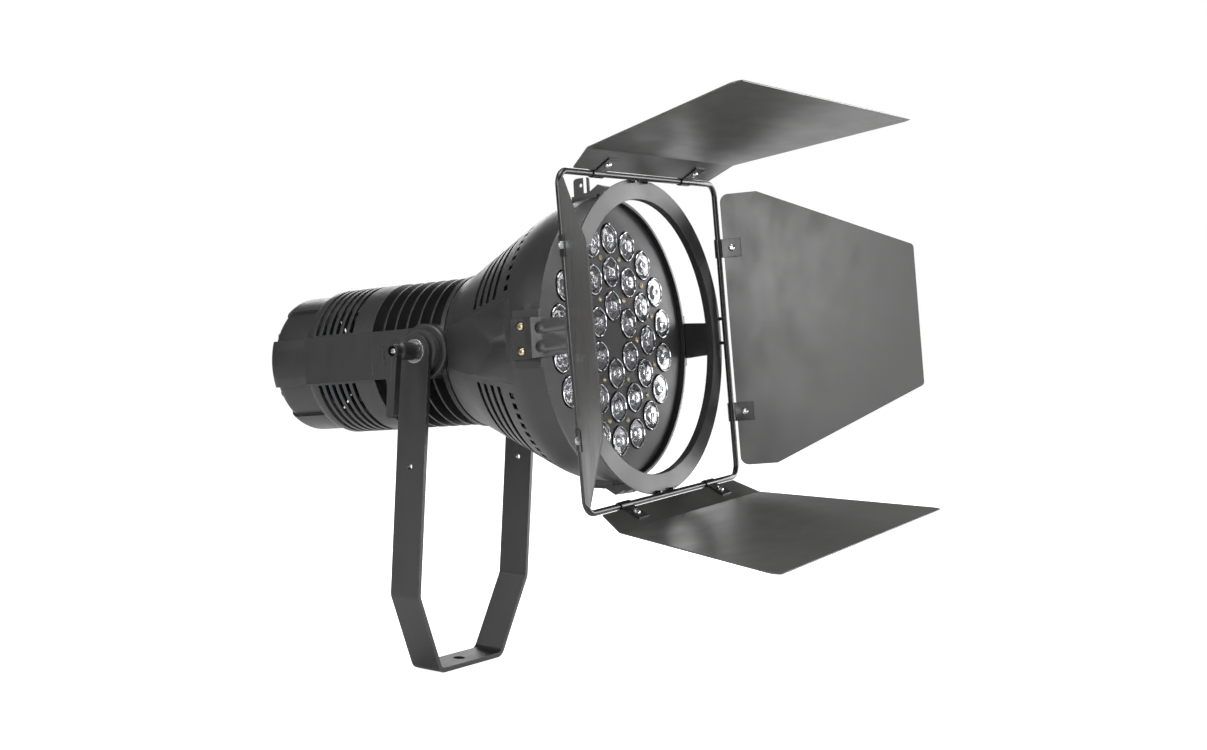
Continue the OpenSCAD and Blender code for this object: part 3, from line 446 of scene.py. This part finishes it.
def cross_screw(head_radius, head_height, shank_radius, shank_length):
    """A pan head screw along +Z with a cross recess, its head's underside at z = 0."""
    bm = bmesh.new()
    crown = 1.2
    arc = [(head_radius * math.cos(t), head_height * math.sin(t) / math.sin(crown))
           for t in (0, 0.2, 0.45, 0.75, 1.0, crown)]
    section = [(shank_radius, -shank_length), (shank_radius, 0), (head_radius * 0.97, 0)]
    section += [(x, z + 0.1) for x, z in arc]
    loft(bm, [circle(r, z, 32) for r, z in section])
    head = mesh_of("cross_screw", bm)
    cutter_bm = bmesh.new()
    arm, blade = head_radius * 0.56, head_radius * 0.17
    for turn in (0, math.pi / 2):
        top = head_height + 0.3
        high = [(-arm, -blade), (arm, -blade), (arm, blade), (-arm, blade)]
        low = [(x * 0.45, y * 0.7) for x, y in high]
        spin = Matrix.Rotation(turn, 4, "Z")
        loft(cutter_bm, [[spin @ Vector((x, y, z)) for x, y in ring]
                         for ring, z in ((low, head_height * 0.15), (high, top))])
    blank = bpy.data.objects.new("cross_blank", head)
    cutter = bpy.data.objects.new("cross_cutter", mesh_of("cross_cutter", cutter_bm))
    for o in (blank, cutter):
        bpy.context.scene.collection.objects.link(o)
    cut = blank.modifiers.new("cross", "BOOLEAN")
    cut.operation, cut.object, cut.solver, cut.use_self = "DIFFERENCE", cutter, "EXACT", True
    graph = bpy.context.evaluated_depsgraph_get()
    made = bpy.data.meshes.new_from_object(blank.evaluated_get(graph))
    made.materials.clear()
    for o in (blank, cutter):
        bpy.data.objects.remove(o)
    made.set_sharp_from_angle(angle=math.radians(30))
    return made


def build_optics():
    places = list(lens_places())
    new_piece("lens_reflectors", head_copies(reflector_cup(), "lens_reflectors", places), ["lens_holders"])
    new_piece("clear_lens_fronts", head_copies(clear_lens(), "clear_lens_fronts", places), ["lenses"])
    screw_ring, inner_ring, spread = 2.46 * lens_pitch, 1.36 * lens_pitch, 12.5
    angles = [(screw_ring, 60 * i + s * spread) for i in range(6) for s in (-1, 1)]
    angles += [(inner_ring, 30 + 60 * i) for i in range(6)]
    spots = [Vector((r * math.sin(math.radians(t)), r * math.cos(math.radians(t)), plate_front))
             for r, t in angles]
    turns = [random.uniform(0, math.pi) for _ in spots]
    screw = cross_screw(2.9, 1.6, 1.5, 12)
    joined = head_copies(screw, "plate_cross_screws", spots, turns)
    new_piece("plate_cross_screws", joined, ["lens_plate_screws"])


def build_bracket_screws():
    screw = cross_screw(3.9, 2.2, 1.8, 9.4)
    screw_front = 160.6
    head_under = 146.7
    half_gap = 11.8
    unit = Matrix.Scale(MM, 4)
    placements = []
    for side in range(4):
        for s in (-1, 1):
            seat = Matrix.Translation((head_under, s * half_gap, screw_front))
            seat = seat @ Matrix.Rotation(math.pi / 2, 4, "Y")
            turned = Matrix.Rotation(random.uniform(0, 3), 4, "Z")
            placements.append(HEAD @ unit @ Matrix.Rotation(side * math.pi / 2, 4, "Z") @ seat @ turned)
    new_piece("bracket_cross_screws", copies(screw, placements, "bracket_cross_screws"), ["bracket_screws"])


def build_springs():
    """The coil spring inside each lever's hub, in place of the CAD's plain rings."""
    turns, wire, steps = 5, 0.45, 24
    for side in ("left", "right"):
        node = "lever_spring_" + side
        lo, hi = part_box(node)
        middle = (lo + hi) / 2
        coil_radius = (hi.z - lo.z) / 2 - wire * MM
        start, end = lo.x + wire * MM, hi.x - wire * MM
        bm = bmesh.new()
        points = []
        for i in range(turns * steps + 1):
            t = 2 * math.pi * i / steps
            share = i / (turns * steps)
            points.append(Vector((start + (end - start) * share,
                                  middle.y + coil_radius * math.cos(t),
                                  middle.z + coil_radius * math.sin(t))))
        tube(bm, points, wire * MM, 8)
        new_piece("coil_spring_" + side, mesh_of("coil_spring_" + side, bm, 50), [node])


# Width in millimetres of each CAD node's rounded edges
SOFTENED = {
    "yoke": 0.8, "rear_cap": 0.6, "rear_housing": 0.5, "heat_sink": 0.4, "flare_housing": 0.6,
    "lens_plate": 0.3, "friction_disc_left": 0.5, "friction_disc_right": 0.5, "door_ring": 0.35,
    "leaf_top": 0.3, "leaf_bottom": 0.3, "leaf_left": 0.3, "leaf_right": 0.3, "hinge_clips_top": 0.25,
    "hinge_clips_bottom": 0.25, "hinge_clips_left": 0.25, "hinge_clips_right": 0.25,
    "clip_screws_top": 0.25, "clip_screws_bottom": 0.25, "clip_screws_left": 0.25,
    "clip_screws_right": 0.25, "lever_handle_left": 0.9, "lever_handle_right": 0.9,
    "lever_screw_left": 0.2, "lever_screw_right": 0.2, "lever_insert_left": 0.3,
    "lever_insert_right": 0.3, "pivot_washer_left": 0.25, "pivot_washer_right": 0.25, "bracket_left": 0.5,
    "bracket_right": 0.5, "bracket_top": 0.5, "bracket_bottom": 0.5, "menu_button_1": 0.3,
    "menu_button_2": 0.3, "menu_button_3": 0.3, "menu_button_4": 0.3, "power_inlet": 0.3,
    "power_outlet": 0.3, "signal_inlet": 0.3, "signal_outlet": 0.3, "rear_screws": 0.2, "fan_rotor": 0.4,
    "fan_frame": 0.5,
}

for node, width in SOFTENED.items():
    soften(node, node + "_shell" if node.endswith(("cap", "housing")) else node + "_finished", width)
build_optics()
build_bracket_screws()
build_springs()

# ---------- Stage, light and camera ----------

floor_mesh = bpy.data.meshes.new("floor")
floor_half = 12.0
floor_mesh.from_pydata([(-floor_half, -floor_half, 0), (floor_half, -floor_half, 0),
                        (floor_half, floor_half, 0), (-floor_half, floor_half, 0)], [], [(0, 1, 2, 3)])
floor = bpy.data.objects.new("floor", floor_mesh)
bpy.context.scene.collection.objects.link(floor)
floor.location.z = cad_lo.z - 0.5 * MM
paper = Nodes("pale_floor")
paper_grain = paper.noise(paper.add("ShaderNodeTexCoord").outputs["Object"], 30.0, 4.0)
seen_directly = paper.add("ShaderNodeLightPath").outputs["Is Camera Ray"]
paper_shader = paper.add("ShaderNodeBsdfPrincipled", {
    "Base Color": paper.mix_colour(paper_grain, grey(0.9), grey(0.96)), "Roughness": 0.8,
    "Emission Color": (1, 1, 1, 1), "Emission Strength": paper.math("MULTIPLY", seen_directly, 0.8),
})
paper.tree.links.new(paper_shader.outputs[0], paper.output.inputs[0])
floor_mesh.materials.append(paper.material)


def soft_box(name, azimuth, elevation, distance, width, height, power):
    """Area light facing the tilt axis. Azimuth is counted from the front, turning towards +X."""
    a, e = math.radians(azimuth), math.radians(elevation)
    away = Vector((math.sin(a) * math.cos(e), -math.cos(a) * math.cos(e), math.sin(e)))
    data = bpy.data.lights.new(name, "AREA")
    data.shape = "RECTANGLE"
    data.size, data.size_y = width, height
    data.energy = power
    light = bpy.data.objects.new(name, data)
    light.location = tilt_axis + away * distance
    light.rotation_mode = "QUATERNION"
    light.rotation_quaternion = (-away).to_track_quat("-Z", "Y")
    bpy.context.scene.collection.objects.link(light)


soft_box("overhead", -40, 78, 2.0, 1.4, 1.0, 34)
soft_box("key_left", -75, 12, 2.3, 1.0, 1.2, 30)
soft_box("side_left", -112, 26, 2.3, 1.0, 1.0, 20)
soft_box("front_right", 62, 10, 2.4, 1.2, 1.8, 44)
soft_box("low_front", 20, 3, 2.2, 1.6, 0.3, 14)
soft_box("back_right", 128, 22, 2.4, 1.4, 0.8, 16)

world = bpy.data.worlds.new("studio")
world.use_nodes = True
sky = world.node_tree
sky.nodes.clear()
world_out = sky.nodes.new("ShaderNodeOutputWorld")
seen = sky.nodes.new("ShaderNodeBackground")
seen.inputs["Color"].default_value = (1, 1, 1, 1)
seen.inputs["Strength"].default_value = 1.0
around = sky.nodes.new("ShaderNodeBackground")
around.inputs["Color"].default_value = (1, 1, 1, 1)
around.inputs["Strength"].default_value = 0.22
ray = sky.nodes.new("ShaderNodeLightPath")
choose = sky.nodes.new("ShaderNodeMixShader")
sky.links.new(ray.outputs["Is Camera Ray"], choose.inputs[0])
sky.links.new(around.outputs[0], choose.inputs[1])
sky.links.new(seen.outputs[0], choose.inputs[2])
sky.links.new(choose.outputs[0], world_out.inputs[0])
bpy.context.scene.world = world
bpy.context.scene.view_settings.view_transform = "Standard"

# The camera's place is worked out in its own axes: across, down and away from the tilt axis
camera_azimuth, camera_elevation, camera_roll = -59.23, 2.23, 2.76
camera_offset = Vector((-138.88, -24.94, 1682.9)) * MM
focal_length_px, image_width_px = 1584.18, 1207
a, e, r = (math.radians(x) for x in (camera_azimuth, camera_elevation, camera_roll))
back = Vector((math.sin(a) * math.cos(e), -math.cos(a) * math.cos(e), math.sin(e)))
right = Vector((math.cos(a), math.sin(a), 0))
up = back.cross(right)
across = right * math.cos(r) + up * math.sin(r)
down = right * math.sin(r) - up * math.cos(r)
camera_data = bpy.data.cameras.new("camera")
camera_data.sensor_width = 36
camera_data.lens = camera_data.sensor_width * focal_length_px / image_width_px
camera = bpy.data.objects.new("camera", camera_data)
bpy.context.scene.collection.objects.link(camera)
spot = tilt_axis - (across * camera_offset.x + down * camera_offset.y - back * camera_offset.z)
camera.matrix_world = Matrix.Translation(spot) @ Matrix((across, -down, back)).transposed().to_4x4()
bpy.context.scene.camera = camera
